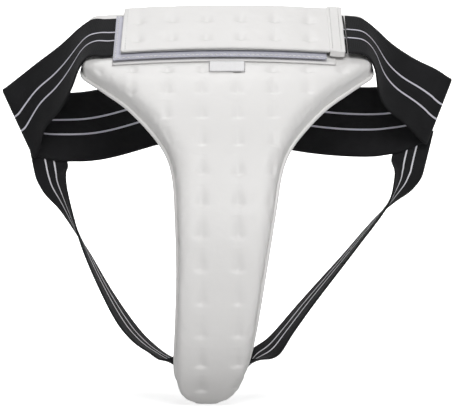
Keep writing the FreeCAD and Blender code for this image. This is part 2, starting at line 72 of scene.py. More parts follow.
# Relief pressed into the white leather, in millimetres: place, spacing and size of the round dents
DENT_PITCH_X = 23.5
PAD_DENT_X = 7.0
PAD_DENT_S = 80.0
PAD_DENT_PITCH_S = 21.2
STRAP_DENT_X = 9.5
STRAP_DENT_ROW = -6.5
STRAP_DENT_PITCH_S = 23.5
DENT_HALF_X = 3.6
DENT_UPPER_SLOPE = 8.0
DENT_LOWER_SLOPE = 1.8
DENT_DEPTH = 1.3
CREASE_HALF_X = 2.2
CREASE_DEPTH = 0.12
PAD_DENTS_START = 71.0

# Soft shell of the padded shield, in millimetres; WALL_SEAM is how far the seam lies behind the front face
SHELL_VOXEL = 3.2
SWELL = 1.6
SIDE_FULLNESS = 1.3
WALL_SEAM = 12.6
CORD_RADIUS = 1.35
SEAM_HALF = 0.9
SEAM_DEPTH = 0.7
WAVE_HEIGHT = 0.22
FOLD_HEIGHT = 0.35
RIM_REACH = 6.0
RIM_PULL = 0.75

# Short cloth simulation whose inner pressure swells the shield's skin, by SWELL at most
CLOTH_FRAMES = 16
CLOTH_PRESSURE = 4.0
CLOTH_STIFFNESS = 20
CLOTH_BENDING = 2.0

# Elastic, stitches and hooks
BELT_THICKNESS = 1.4
BEAD_SIDES = 6
BEAD_GAP = 0.12
# Along, width and height of a stitch at each of its rings, as shares of its length and radius
BEAD_RINGS = [(0.0, 0.15, -0.5), (0.12, 0.8, -0.1), (0.35, 1.0, 0.15), (0.65, 1.0, 0.15), (0.88, 0.8, -0.1),
              (1.0, 0.15, -0.5)]
# Height, reach and radius of a hook at each of its rings
HOOK_RINGS = [(0.0, 0.0, 0.16), (0.25, 0.0, 0.13), (0.42, 0.14, 0.11), (0.38, 0.34, 0.06)]
HOOK_SIDES = 3
HOOK_ROOT = 0.42
HOOKS_ACROSS = 21

# Studio, in metres and watts
WORLD_LIGHT = 0.26
WORLD_SEEN = 0.98
FLOOR_GLOW = 0.65
FLOOR_REACH = 6.0
FLOOR_BACK = 1.6
FLOOR_CURVE = 0.8
KEY_POWER = 3.4
FILL_POWER = 13.5
BACKDROP_POWER = 60.0
CAMERA_LENS = 138.8
CAMERA_SENSOR = 36.0
CAMERA_DISTANCE = 1.2482
CAMERA_HEIGHT = -0.0745

# ---------------------------------------------------------------- reading the frame

def solids_of(node):
    """Each separate solid of a CAD node as (points in mm, triangles), with its vertices welded."""
    edit = bmesh.new()
    edit.from_mesh(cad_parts[node].data)
    bmesh.ops.remove_doubles(edit, verts=edit.verts, dist=WELD * MM)
    edit.verts.index_update()
    points = np.array([v.co for v in edit.verts]) / MM
    triangles = np.array([[v.index for v in f.verts] for f in edit.faces])
    edit.free()
    parent = list(range(len(points)))

    def root(i):
        while parent[i] != i:
            parent[i] = parent[parent[i]]
            i = parent[i]
        return i

    for a, b, c in triangles:
        parent[root(a)] = root(b)
        parent[root(b)] = root(c)
    labels = np.array([root(t[0]) for t in triangles])
    return [(points, triangles[labels == label]) for label in np.unique(labels)]


def unit(v):
    """Vectors scaled to length one."""
    return v / np.maximum(np.linalg.norm(v, axis=-1, keepdims=True), 1e-12)


def lengths(line):
    """Distance along a line at each of its points."""
    return np.concatenate([[0], np.cumsum(np.linalg.norm(np.diff(line, axis=0), axis=1))])


def resample(line, count):
    """The same line with its points evenly spaced."""
    run = lengths(line)
    at = np.linspace(0, run[-1], count)
    return np.stack([np.interp(at, run, line[:, i]) for i in range(3)], axis=1)


def middle_line(one, other):
    """The line halfway between two nearly parallel lines."""
    dense = resample(other, 2000)
    out = []
    for p in resample(one, 400):
        out.append((p + dense[np.argmin(((dense - p) ** 2).sum(1))]) / 2)
    return np.array(out)


def outlines_of(node):
    """The outline of each CAD face of a node, as an ordered closed line in millimetres."""
    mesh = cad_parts[node].data
    points = np.array([v.co for v in mesh.vertices]) / MM
    uses = {}
    for polygon in mesh.polygons:
        for edge in polygon.edge_keys:
            uses[edge] = uses.get(edge, 0) + 1
    near = {}
    for (a, b), count in uses.items():
        if count == 1:
            near.setdefault(a, []).append(b)
            near.setdefault(b, []).append(a)
    outlines, seen = [], set()
    for start in sorted(near):
        if start in seen:
            continue
        line = [start]
        seen.add(start)
        while True:
            ahead = [v for v in near[line[-1]] if v not in seen]
            if not ahead:
                break
            line.append(ahead[0])
            seen.add(ahead[0])
        outline = points[line]
        keep = np.linalg.norm(outline - np.roll(outline, 1, axis=0), axis=1) > 0.005
        outlines.append(outline[keep])
    return outlines


def thickness_of(node):
    """Thickness of a strip, from the short sides of the plain rectangles at its ends."""
    shortest = []
    for outline in outlines_of(node):
        if len(outline) == 4:
            shortest.append(np.linalg.norm(outline - np.roll(outline, 1, axis=0), axis=1).min())
    return float(np.median(shortest))


def narrow_line(outline, thickness):
    """Middle line of a long face as narrow as the strip is thick; None for any other face."""
    closed = np.concatenate([outline, outline[:1]])
    per_thickness = 4
    count = int(lengths(closed)[-1] / thickness * per_thickness)
    if count < 12 * per_thickness:
        return None
    ring = resample(closed, count + 1)[:-1]
    heading = unit(np.roll(ring, -1, axis=0) - np.roll(ring, 1, axis=0))
    reach = per_thickness + 1
    turned_back = -(np.roll(heading, reach, axis=0) * np.roll(heading, -reach, axis=0)).sum(1)
    first = int(np.argmax(turned_back))
    ring, turned_back = np.roll(ring, -first, axis=0), np.roll(turned_back, -first)
    near_first = 3 * per_thickness
    second = near_first + int(np.argmax(turned_back[near_first:-near_first]))
    if min(turned_back[0], turned_back[second]) < 0.8:
        return None
    one, other = ring[:second + 1], ring[second:][::-1]
    middle = middle_line(one, other)
    width = 2 * np.linalg.norm(middle - resample(one, len(middle)), axis=1).mean()
    return middle if width < 1.6 * thickness else None


def narrow_lines(node, thickness, ends=False):
    """Middle lines of all narrow long faces of a node; plain four-cornered ones only if ends is set."""
    lines = []
    for outline in outlines_of(node):
        line = narrow_line(outline, thickness) if ends or len(outline) > 4 else None
        if line is not None:
            lines.append(line)
    return lines


def take_chain(lines, start, reach=3.0):
    """Takes lines from a list and joins them end to end, from the free end nearest to a place."""
    here, chain = start, []
    while lines:
        choices = []
        for i, line in enumerate(lines):
            choices += [(np.linalg.norm(line[end] - here), i, end) for end in (0, -1)]
        gap, i, end = min(choices)
        if chain and gap > reach:
            break
        line = lines.pop(i)
        chain.append(line if end == 0 else line[::-1])
        here = chain[-1][-1]
    return np.concatenate(chain)


def selvedges(node, toward, thickness=None):
    """The two edge lines of a strip, both starting from the end that lies furthest toward a direction."""
    lines = narrow_lines(node, thickness or thickness_of(node))
    free = np.array([line[end] for line in lines for end in (0, -1)])
    start = free[np.argmax(free @ np.array(toward, float))]
    one = take_chain(lines, start)
    other = take_chain(lines, one[0])
    return one, other


def stations(pair, turn_axis=None, spacing=2.0):
    """Centres and half-width vectors from two edge lines, matched at the furthest reach along turn_axis."""
    one, other = pair
    cuts = [[0, len(line) - 1] for line in pair]
    if turn_axis is not None:
        cuts = [[0, int(np.argmax(line @ np.array(turn_axis))), len(line) - 1] for line in pair]
    centres, halves = [], []
    for (a, b), (c, d) in zip(zip(cuts[0], cuts[0][1:]), zip(cuts[1], cuts[1][1:])):
        length = lengths(one[a:b + 1])[-1]
        count = max(4, int(length / spacing) + 1)
        first, second = resample(one[a:b + 1], count), resample(other[c:d + 1], count)
        skip = 1 if centres else 0
        centres += list((first + second)[skip:] / 2)
        halves += list((second - first)[skip:] / 2)
    return np.array(centres), np.array(halves)


def joined(*parts):
    """One run of stations from several, end to end, with every half-width vector pointing the same way."""
    centres, halves = parts[0]
    for more_centres, more_halves in parts[1:]:
        sign = 1 if halves[-1] @ more_halves[0] > 0 else -1
        centres = np.concatenate([centres, more_centres])
        halves = np.concatenate([halves, more_halves * sign])
    return centres, halves


def evenly(run, spacing):
    """The same run with stations at an even spacing."""
    centres, halves = run
    length = lengths(centres)
    keep = np.concatenate([[True], np.diff(length) > 1e-4])
    centres, halves, length = centres[keep], halves[keep], length[keep]
    at = np.linspace(0, length[-1], max(3, int(length[-1] / spacing) + 1))
    pick = [np.stack([np.interp(at, length, a[:, i]) for i in range(3)], axis=1) for a in (centres, halves)]
    return pick[0], pick[1]


def smoothed(values, times):
    """Values averaged with their neighbours, with both ends kept."""
    values = values.copy()
    for _ in range(times):
        values[1:-1] = values[1:-1] * 0.5 + (values[:-2] + values[2:]) * 0.25
    return values


# ---------------------------------------------------------------- building meshes

def new_object(name, points, faces, uvs=None, smooth=True):
    """A mesh object from points in millimetres; uvs is one pair per vertex."""
    mesh = bpy.data.meshes.new(name)
    mesh.from_pydata([tuple(p) for p in np.asarray(points) * MM], [], [list(map(int, f)) for f in faces])
    mesh.validate()
    if uvs is not None:
        layer = mesh.uv_layers.new(name="UVMap")
        for loop in mesh.loops:
            layer.data[loop.index].uv = uvs[loop.vertex_index]
    for polygon in mesh.polygons:
        polygon.use_smooth = smooth
    obj = bpy.data.objects.new(name, mesh)
    bpy.context.scene.collection.objects.link(obj)
    return obj


def webbing(name, run, thickness, columns, facing, relief=None, edge=None, bulge=0.0):
    """A strip with rounded edges along a run of stations; relief(across, along, points) lifts its front."""
    centres, halves = run
    tangents = unit(np.gradient(centres, axis=0))
    normals = unit(np.cross(tangents, halves))
    if normals[len(normals) // 2] @ np.array(facing, float) < 0:
        normals = -normals
    width = np.linalg.norm(halves, axis=1)
    along = lengths(centres)
    edge = edge or thickness * 0.6
    inner = np.linspace(-1, 1, columns)
    rows, uvs = [], []
    for side in (1, -1):
        for u in (inner if side > 0 else inner[::-1][1:-1]):
            distance = width * (1 - abs(u))
            fall = np.clip(1 - distance / edge, 0, 1)
            height = thickness / 2 * np.sqrt(1 - fall ** 2) * side + bulge * (1 - u * u)
            line = centres + halves * u + normals * height[:, None]
            if relief and side > 0:
                line = line + normals * (relief(u * width, along, line) * (1 - fall))[:, None]
            rows.append(line)
            uvs.append(np.stack([u * width, along], axis=1))
    ring, count = len(rows), len(centres)
    points = np.concatenate(rows)
    faces = []
    for j in range(ring):
        k = (j + 1) % ring
        for i in range(count - 1):
            faces.append((j * count + i, j * count + i + 1, k * count + i + 1, k * count + i))
    mid = columns
    for i in (0, count - 1):
        for j in range(1, mid - 1):
            lower = (ring - j) % ring
            lower_next = ring - j - 1 if j + 1 < mid else mid - 1
            quad = [j * count + i, (j + 1) * count + i, lower_next * count + i, lower * count + i]
            quad = list(dict.fromkeys(quad))
            faces.append(quad if i else quad[::-1])
        first = [0 * count + i, 1 * count + i, (ring - 1) * count + i]
        faces.append(first if i else first[::-1])
    obj = new_object(name, points, faces, np.concatenate(uvs))
    fix_normals(obj)
    return obj


def fix_normals(obj):
    """Turns every face of a closed mesh outwards."""
    edit = bmesh.new()
    edit.from_mesh(obj.data)
    bmesh.ops.recalc_face_normals(edit, faces=edit.faces)
    edit.to_mesh(obj.data)
    edit.free()


def tube(name, path, radius, closed=False, sides=12):
    """Round cord along a path in millimetres."""
    if closed:
        ahead, behind = np.roll(path, -1, axis=0), np.roll(path, 1, axis=0)
        tangents = unit(ahead - behind)
    else:
        tangents = unit(np.gradient(path, axis=0))
    up = unit(np.cross(tangents[0], [0.3, 1.0, 0.2]))
    rings, uvs = [], []
    along = lengths(path)
    for centre, tangent, at in zip(path, tangents, along):
        up = unit(up - tangent * (up @ tangent))
        side = np.cross(tangent, up)
        for k in range(sides):
            turn = 2 * math.pi * k / sides
            rings.append(centre + radius * (up * math.cos(turn) + side * math.sin(turn)))
            uvs.append((radius * turn, at))
    count = len(path)
    faces = []
    for i in range(count if closed else count - 1):
        for k in range(sides):
            n = (k + 1) % sides
            j = (i + 1) % count
            faces.append((i * sides + k, i * sides + n, j * sides + n, j * sides + k))
    if not closed:
        faces.append(list(range(sides)))
        faces.append(list(range((count - 1) * sides, count * sides))[::-1])
    obj = new_object(name, rings, faces, uvs)
    fix_normals(obj)
    return obj


def ring_faces(base, rings, sides):
    """Side faces between the rings of a small tapered piece."""
    faces = []
    for i in range(rings - 1):
        for k in range(sides):
            a, b = base + i * sides + k, base + i * sides + (k + 1) % sides
            faces.append((a, b, b + sides, a + sides))
    return faces


def stitches(name, runs, pitch=3.1, radius=0.36, lift=0.1):
    """Rows of separate stitches, each a small rounded bead sunk at its ends."""
    beads, faces, uvs = [], [], []
    for centres, halves, facing in runs:
        length = lengths(centres)
        total = length[-1]
        number = max(1, int(total / pitch))
        for n in range(number):
            start = (n + BEAD_GAP) * total / number
            span = (1 - 2 * BEAD_GAP) * total / number
            base = len(beads)
            at = [start + span * f for f, _, _ in BEAD_RINGS]
            middle = np.stack([np.interp(at, length, centres[:, i]) for i in range(3)], axis=1)
            across = unit(halves[0])
            along = unit(middle[-1] - middle[0])
            out = unit(np.cross(along, across))
            out = out if out @ facing > 0 else -out
            for point, (_, wide, high) in zip(middle, BEAD_RINGS):
                for k in range(BEAD_SIDES):
                    turn = 2 * math.pi * k / BEAD_SIDES
                    ring = across * math.cos(turn) * radius * wide + out * math.sin(turn) * radius * wide
                    beads.append(point + ring + out * (lift + radius * high))
                    uvs.append((k, n))
            faces += ring_faces(base, len(BEAD_RINGS), BEAD_SIDES)
            faces.append([base + k for k in range(BEAD_SIDES)][::-1])
            faces.append([base + (len(BEAD_RINGS) - 1) * BEAD_SIDES + k for k in range(BEAD_SIDES)])
    return new_object(name, beads, faces, uvs)


def soft_copy(node, name, voxel, rounds=4, wobble=0.0):
    """A clean, softened new mesh in the place of a CAD node."""
    points, triangles = solids_of(node)[0]
    obj = new_object(name, points, triangles)
    remesh(obj, voxel)
    smooth_object(obj, rounds, 0.5)
    if wobble:
        for vertex in obj.data.vertices:
            vertex.co += Vector(noise.noise_vector(vertex.co / MM * 0.12)) * (wobble * MM)
    return obj


def remesh(obj, voxel):
    """Rebuilds the mesh as one even skin."""
    bpy.context.view_layer.objects.active = obj
    modifier = obj.modifiers.new("remesh", "REMESH")
    modifier.mode = "VOXEL"
    modifier.voxel_size = voxel * MM
    modifier.use_smooth_shade = True
    apply_modifiers(obj)


def smooth_object(obj, rounds, factor):
    """Rounds off the mesh's corners."""
    modifier = obj.modifiers.new("smooth", "SMOOTH")
    modifier.iterations = rounds
    modifier.factor = factor
    apply_modifiers(obj)


def apply_modifiers(obj):
    """Replaces the object's mesh with its evaluated one."""
    graph = bpy.context.evaluated_depsgraph_get()
    mesh = bpy.data.meshes.new_from_object(obj.evaluated_get(graph))
    obj.modifiers.clear()
    old = obj.data
    obj.data = mesh
    bpy.data.meshes.remove(old)
    for polygon in obj.data.polygons:
        polygon.use_smooth = True


def coordinates(obj):
    """Vertex places in millimetres."""
    flat = np.empty(len(obj.data.vertices) * 3)
    obj.data.vertices.foreach_get("co", flat)
    return flat.reshape(-1, 3) / MM


def set_coordinates(obj, points):
    """Moves the vertices to places in millimetres."""
    obj.data.vertices.foreach_set("co", (points * MM).ravel())
    obj.data.update()


def vertex_normals(obj):
    """Outward direction at each vertex."""
    flat = np.empty(len(obj.data.vertices) * 3)
    obj.data.vertices.foreach_get("normal", flat)
    return flat.reshape(-1, 3)


# ---------------------------------------------------------------- shield coordinates

def shield_profile():
    """Middle line of the shield's front face from its top edge to its tip, cast from the CAD cover."""
    points, triangles = solids_of("front_cover")[0]
    tree = BVHTree.FromPolygons([tuple(p) for p in points], [list(map(int, t)) for t in triangles])
    low, high = points.min(0), points.max(0)
    line, x = [], 0.0
    for z in np.linspace(high[2] - 0.05, low[2] + 0.05, 900):
        level = points[np.abs(points[:, 2] - z) < 4.0]
        x = (level[:, 0].max() + level[:, 0].min()) / 2 if len(level) else x
        hit = tree.ray_cast(Vector((x, low[1] - 50, z)), Vector((0, 1, 0)))[0]
        if hit:
            line.append((hit.y, hit.z))
    side = tree.ray_cast(Vector((high[0] * 0.75, low[1] - 50, high[2] - 30)), Vector((0, 1, 0)))[0]
    middle = tree.ray_cast(Vector((0, low[1] - 50, high[2] - 30)), Vector((0, 1, 0)))[0]
    drop = (side.y - middle.y) / side.x ** 2
    return np.array(line), drop


PROFILE, LATERAL_DROP = shield_profile()
PROFILE_RUN = lengths(PROFILE)


def shield_place(points):
    """Distance down the front face and height above it, for points near the shield."""
    flat = np.stack([points[:, 1] - LATERAL_DROP * points[:, 0] ** 2, points[:, 2]], axis=1)
    directions = unit(np.gradient(PROFILE, axis=0))
    outward = np.stack([directions[:, 1], -directions[:, 0]], axis=1)
    down, height = np.empty(len(flat)), np.empty(len(flat))
    for begin in range(0, len(flat), 4000):
        chunk = flat[begin:begin + 4000]
        gap = chunk[:, None, :] - PROFILE[None, :, :]
        index = np.argmin((gap ** 2).sum(2), axis=1)
        offset = chunk - PROFILE[index]
        down[begin:begin + 4000] = PROFILE_RUN[index] + (offset * directions[index]).sum(1)
        height[begin:begin + 4000] = (offset * outward[index]).sum(1)
    return down, height


def smoothstep(low, high, value):
    """0 below low, 1 above high, and a smooth rise between."""
    t = np.clip((value - low) / (high - low), 0, 1)
    return t * t * (3 - 2 * t)


def dent_field(x, s, first_x, first_s, pitch_s):
    """Depth of rows of dents, gently sloped above and steep below, and of the soft creases between them."""
    dx = (x - first_x + DENT_PITCH_X / 2) % DENT_PITCH_X - DENT_PITCH_X / 2
    ds = (s - first_s + pitch_s * 0.6) % pitch_s - pitch_s * 0.6
    slope = np.where(ds < 0, DENT_UPPER_SLOPE, DENT_LOWER_SLOPE)
    dent = np.exp(-(dx / DENT_HALF_X) ** 2 - (ds / slope) ** 2)
    crease = np.exp(-(dx / CREASE_HALF_X) ** 2)
    return dent * DENT_DEPTH + crease * CREASE_DEPTH


# ---------------------------------------------------------------- materials

class Recipe:
    """A small helper that wires one procedural material."""

    def __init__(self, name):
        self.material = bpy.data.materials.new(name)
        self.material.use_nodes = True
        self.tree = self.material.node_tree
        self.shader = self.tree.nodes["Principled BSDF"]

    def add(self, kind, **values):
        node = self.tree.nodes.new(kind)
        for key, value in values.items():
            setattr(node, key, value)
        return node

    def link(self, source, target):
        self.tree.links.new(source, target)

    def feed(self, node, name, value):
        socket = node.inputs[name]
        if hasattr(value, "is_output"):
            self.link(value, socket)
        else:
            socket.default_value = value

    def maths(self, operation, first, second=0.0, clamp=False):
        node = self.add("ShaderNodeMath", operation=operation, use_clamp=clamp)
        self.feed(node, 0, first)
        self.feed(node, 1, second)
        return node.outputs[0]

    def noise(self, vector, scale, detail=3.0, roughness=0.5):
        node = self.add("ShaderNodeTexNoise")
        self.link(vector, node.inputs["Vector"])
        node.inputs["Scale"].default_value = scale
        node.inputs["Detail"].default_value = detail
        node.inputs["Roughness"].default_value = roughness
        return node.outputs["Fac"]

    def cells(self, vector, scale, feature="F1"):
        node = self.add("ShaderNodeTexVoronoi", feature=feature)
        self.link(vector, node.inputs["Vector"])
        node.inputs["Scale"].default_value = scale
        return node.outputs["Distance"]

    def position(self):
        return self.add("ShaderNodeTexCoord").outputs["Object"]

    def cloth_grid(self):
        """Across and along the strip, in millimetres."""
        split = self.add("ShaderNodeSeparateXYZ")
        self.link(self.add("ShaderNodeUVMap").outputs["UV"], split.inputs[0])
        return split.outputs["X"], split.outputs["Y"]

    def mix(self, factor, first, second):
        node = self.add("ShaderNodeMix", data_type="RGBA")
        self.feed(node, 0, factor)
        for index, value in ((6, first), (7, second)):
            if hasattr(value, "is_output"):
                self.link(value, node.inputs[index])
            else:
                node.inputs[index].default_value = (*value, 1.0)
        return node.outputs[2]

    def bump(self, height, distance, strength=1.0, before=None):
        node = self.add("ShaderNodeBump")
        node.inputs["Distance"].default_value = distance * MM
        node.inputs["Strength"].default_value = strength
        self.link(height, node.inputs["Height"])
        if before is not None:
            self.link(before, node.inputs["Normal"])
        return node.outputs[0]

    def finish(self, colour, roughness, normal=None, sheen=0.0, specular=0.5):
        self.feed(self.shader, "Base Color", colour)
        self.feed(self.shader, "Roughness", roughness)
        self.shader.inputs["Sheen Weight"].default_value = sheen
        self.shader.inputs["Specular IOR Level"].default_value = specular
        if normal is not None:
            self.link(normal, self.shader.inputs["Normal"])
        return self.material


def leather(name, pale, shade, roughness):
    """Smooth white synthetic leather: fine pores, faint cloudiness, and a painted highlight on convex edges
    and dent rims.
    """
    r = Recipe(name)
    place = r.position()
    cloud = r.noise(place, 22.0, 4.0)
    # Painted highlight: convex edges and dent rims are coloured lighter, on top of the random cloudiness.
    convexity = r.add("ShaderNodeNewGeometry").outputs["Pointiness"]
    edge = r.maths("MULTIPLY", r.maths("SUBTRACT", convexity, 0.5), 3.0, clamp=True)
    tint = r.maths("ADD", r.maths("MULTIPLY", cloud, 0.8), edge, clamp=True)
    colour = r.mix(tint, shade, pale)
    grain = r.cells(place, 900.0)
    creases = r.noise(place, 160.0, 5.0, 0.6)
    normal = r.bump(grain, 0.05, 0.35)
    normal = r.bump(creases, 0.25, 0.35, normal)
    rough = r.maths("ADD", r.maths("MULTIPLY", creases, 0.22), roughness - 0.11)
    return r.finish(colour, rough, normal, 0.0, 0.4)


def elastic(name, line_at, line_half, line_colour):
    """Black woven elastic: ribs across and along, with two thin lines woven in."""
    r = Recipe(name)
    across, along = r.cloth_grid()
    ribs = r.maths("SINE", r.maths("MULTIPLY", along, 2 * math.pi / 1.3))
    cords = r.maths("SINE", r.maths("MULTIPLY", across, 2 * math.pi / 0.9))
    weave = r.maths("MULTIPLY", ribs, cords)
    height = r.maths("ADD", r.maths("MULTIPLY", weave, 0.5), r.maths("MULTIPLY", cords, 0.5))
    off = r.maths("ABSOLUTE", r.maths("SUBTRACT", r.maths("ABSOLUTE", across), line_at))
    on_line = r.maths("LESS_THAN", off, line_half)
    # Painted light and shade on the weave: raised ribs coloured lighter and hollows between them darker,
    # mixed with random dust.
    lit = r.maths("MULTIPLY_ADD", height, 0.25)
    lit.node.inputs[2].default_value = 0.5
    place = r.position()
    dust = r.noise(place, 60.0, 3.0)
    rib_light_and_dust = r.maths("MULTIPLY", r.maths("ADD", lit, dust), 0.5)
    base = r.mix(rib_light_and_dust, (0.004, 0.004, 0.0045), (0.022, 0.022, 0.024))
    colour = r.mix(on_line, base, line_colour)
    return r.finish(colour, 0.8, r.bump(height, 0.12, 0.6), 0.04, 0.15)


def cloth(name, pale, shade, pitch, fuzz, sheen=0.3):
    """Woven or brushed pale cloth."""
    r = Recipe(name)
    across, along = r.cloth_grid()
    warp = r.maths("SINE", r.maths("MULTIPLY", along, 2 * math.pi / pitch))
    weft = r.maths("SINE", r.maths("MULTIPLY", across, 2 * math.pi / pitch))
    place = r.position()
    fluff = r.noise(place, 1400.0, 3.0, 0.7)
    weave = r.maths("MULTIPLY", warp, weft)
    height = r.maths("ADD", r.maths("MULTIPLY", weave, 1.0 - fuzz), r.maths("MULTIPLY", fluff, fuzz * 2))
    colour = r.mix(r.noise(place, 240.0, 4.0, 0.6), shade, pale)
    return r.finish(colour, 0.9, r.bump(height, 0.15, 0.7), sheen, 0.2)


def grainy(name, pale, shade, scale, roughness, depth=0.2, specular=0.4):
    """Foam, thread or moulded plastic: cells or grain in the place of a weave."""
    r = Recipe(name)
    place = r.position()
    cell = r.cells(place, scale)
    colour = r.mix(r.noise(place, scale * 0.25, 4.0), shade, pale)
    return r.finish(colour, roughness, r.bump(cell, depth, 0.5), 0.0, specular)


MATERIALS = {
    "cover_leather": leather("pad_leather", (0.84, 0.83, 0.82), (0.77, 0.76, 0.75), 0.44),
    "closure_leather": leather("strap_leather", (0.81, 0.80, 0.79), (0.76, 0.75, 0.74), 0.48),
    "padding_foam": grainy("closed_cell_foam", (0.66, 0.66, 0.62), (0.52, 0.52, 0.48), 900.0, 0.9, 0.25, 0.2),
    "shell_plastic": grainy("moulded_shell", (0.70, 0.72, 0.74), (0.60, 0.62, 0.64), 320.0, 0.38, 0.04),
    "lining_cloth": cloth("lining_cloth", (0.72, 0.72, 0.71), (0.60, 0.60, 0.59), 0.9, 0.35),
    "loop_cloth": cloth("loop_cloth", (0.62, 0.62, 0.70), (0.48, 0.48, 0.56), 1.6, 0.9, 0.6),
    "hook_plastic": grainy("hook_nylon", (0.72, 0.72, 0.71), (0.62, 0.62, 0.61), 700.0, 0.5, 0.05),
    "elastic": elastic("waist_elastic", 5.5, 0.65, (0.62, 0.61, 0.68)),
    "strap_elastic": elastic("leg_elastic", 3.0, 0.55, (0.75, 0.74, 0.78)),
    "thread": grainy("white_thread", (0.84, 0.84, 0.83), (0.70, 0.70, 0.69), 1600.0, 0.6, 0.1),
    "black_thread": grainy("black_thread", (0.03, 0.03, 0.032), (0.012, 0.012, 0.013), 1600.0, 0.6, 0.1),
    "tag_cloth": cloth("tag_satin", (0.98, 0.97, 0.98), (0.94, 0.94, 0.95), 0.5, 0.2, 0.2),
}


def dress(obj, slot, look=None):
    """Gives an object its material and material slot."""
    obj.data.materials.clear()
    obj.data.materials.append(MATERIALS[look or slot])
    return obj


def settle(obj, body, slot, nodes, look=None):
    """Gives a piece its finish and its body, and hides the CAD nodes it stands for."""
    dress(obj, slot, look)
    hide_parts(*nodes)
    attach(obj, body)
    return obj


# ---------------------------------------------------------------- the padded shield

def merged_shield():
    """All layers of the CAD shield in one mesh."""
    points, faces, base = [], [], 0
    for node in ("front_cover", "outer_foam", "cup_shell", "inner_foam", "back_lining"):
        solid_points, triangles = solids_of(node)[0]
        points.append(solid_points)
        faces.append(triangles + base)
        base += len(solid_points)
    return new_object("shield_shell", np.concatenate(points), np.concatenate(faces))


def fill_shield(obj):
    """One closed skin round every layer: remeshed, keeping only its outermost shell."""
    remesh(obj, SHELL_VOXEL / 2)
    edit = bmesh.new()
    edit.from_mesh(obj.data)
    left = set(edit.verts)
    shells = []
    while left:
        stack, shell = [left.pop()], []
        while stack:
            vertex = stack.pop()
            shell.append(vertex)
            for e in vertex.link_edges:
                other = e.other_vert(vertex)
                if other in left:
                    left.remove(other)
                    stack.append(other)
        shells.append(shell)
    shells.sort(key=len)
    for shell in shells[:-1]:
        bmesh.ops.delete(edit, geom=shell, context="VERTS")
    edit.to_mesh(obj.data)
    edit.free()
    remesh(obj, SHELL_VOXEL)
    points = coordinates(obj)
    facing_out = np.abs((vertex_normals(obj) * shield_outward(points)).sum(1))
    set_coordinates(obj, points + vertex_normals(obj) * (SIDE_FULLNESS * (1 - facing_out))[:, None])


def puff(obj):
    """Cloth under a little inner pressure, so that the flat CAD faces swell like a filled pad."""
    rest = coordinates(obj)
    scene = bpy.context.scene
    scene.gravity = (0, 0, 0)
    scene.frame_start, scene.frame_end = 1, CLOTH_FRAMES
    modifier = obj.modifiers.new("cloth", "CLOTH")
    modifier.settings.use_pressure = True
    modifier.settings.uniform_pressure_force = CLOTH_PRESSURE
    modifier.settings.quality = 4
    modifier.settings.tension_stiffness = CLOTH_STIFFNESS
    modifier.settings.bending_stiffness = CLOTH_BENDING
    modifier.point_cache.frame_start, modifier.point_cache.frame_end = 1, CLOTH_FRAMES
    for number in range(1, CLOTH_FRAMES + 1):
        scene.frame_set(number)
    apply_modifiers(obj)
    scene.frame_set(1)
    moved = coordinates(obj) - rest
    distance = np.linalg.norm(moved, axis=1, keepdims=True)
    moved *= SWELL * np.tanh(distance / SWELL) / np.maximum(distance, 1e-9)
    down, height = shield_place(rest)
    front = smoothstep(-6.0, -1.0, height)
    under_closure = 1 - smoothstep(PAD_DENTS_START, PAD_DENTS_START + PAD_DENT_PITCH_S, down)
    moved *= (1 - 0.95 * front * under_closure)[:, None]
    set_coordinates(obj, rest + moved)


def refine(obj, levels):
    """Subdivides the mesh smoothly."""
    modifier = obj.modifiers.new("subdivide", "SUBSURF")
    modifier.levels = levels
    apply_modifiers(obj)


def press_relief(obj):
    """Dents, the faint creases between them, the wall seam and soft unevenness of the leather."""
    points = coordinates(obj)
    down, height = shield_place(points)
    normals = vertex_normals(obj)
    front = smoothstep(-3.2, -0.8, height)
    open_face = smoothstep(PAD_DENTS_START, PAD_DENTS_START + 5, down)
    inwards = smoothstep(SHIELD_LENGTH - 8, SHIELD_LENGTH - 16, down)
    dents = dent_field(points[:, 0], down, PAD_DENT_X, PAD_DENT_S, PAD_DENT_PITCH_S)
    lift = -dents * front * open_face * inwards
    waves = np.array([noise.fractal(Vector(p) * 0.035, 0.8, 2.1, 4) for p in points])
    folds = np.array([noise.noise(Vector((p[0] * 0.03, p[1] * 0.16, p[2] * 0.16))) for p in points])
    wall = smoothstep(-1.5, -5.0, height) * smoothstep(-14.0, -11.0, height)
    lift += waves * WAVE_HEIGHT * open_face * smoothstep(-14.0, -12.0, height) + folds * FOLD_HEIGHT * wall
    seam = np.exp(-((height + WALL_SEAM) / SEAM_HALF) ** 2)
    lift -= SEAM_DEPTH * seam
    set_coordinates(obj, points + normals * lift[:, None])


def cord_cloud():
    """Points along the middle of the CAD piping, one under each of its vertices."""
    points, triangles = solids_of("edge_piping")[0]
    first, second, third = (points[triangles[:, i]] for i in range(3))
    normals = np.cross(second - first, third - first)
    spots = (first + second + third) / 3
    keep = np.linalg.norm(normals, axis=1) > 1e-4
    spots, normals = spots[keep], unit(normals[keep])
    tree = BVHTree.FromPolygons([tuple(p) for p in points], [list(map(int, t)) for t in triangles])
    skin = 0.02
    across = []
    for spot, normal in zip(spots[::50], normals[::50]):
        across.append(tree.ray_cast(Vector(spot - normal * skin), Vector(-normal))[3] or 0.0)
    return spots - normals * (np.median(across) + skin) / 2


def nearest_of(cloud, points):
    """For each point, the nearest point of a cloud and its distance."""
    tree = KDTree(len(cloud))
    for i, spot in enumerate(cloud):
        tree.insert(spot, i)
    tree.balance()
    found = [tree.find(p) for p in points]
    return cloud[[f[1] for f in found]], np.array([f[2] for f in found])


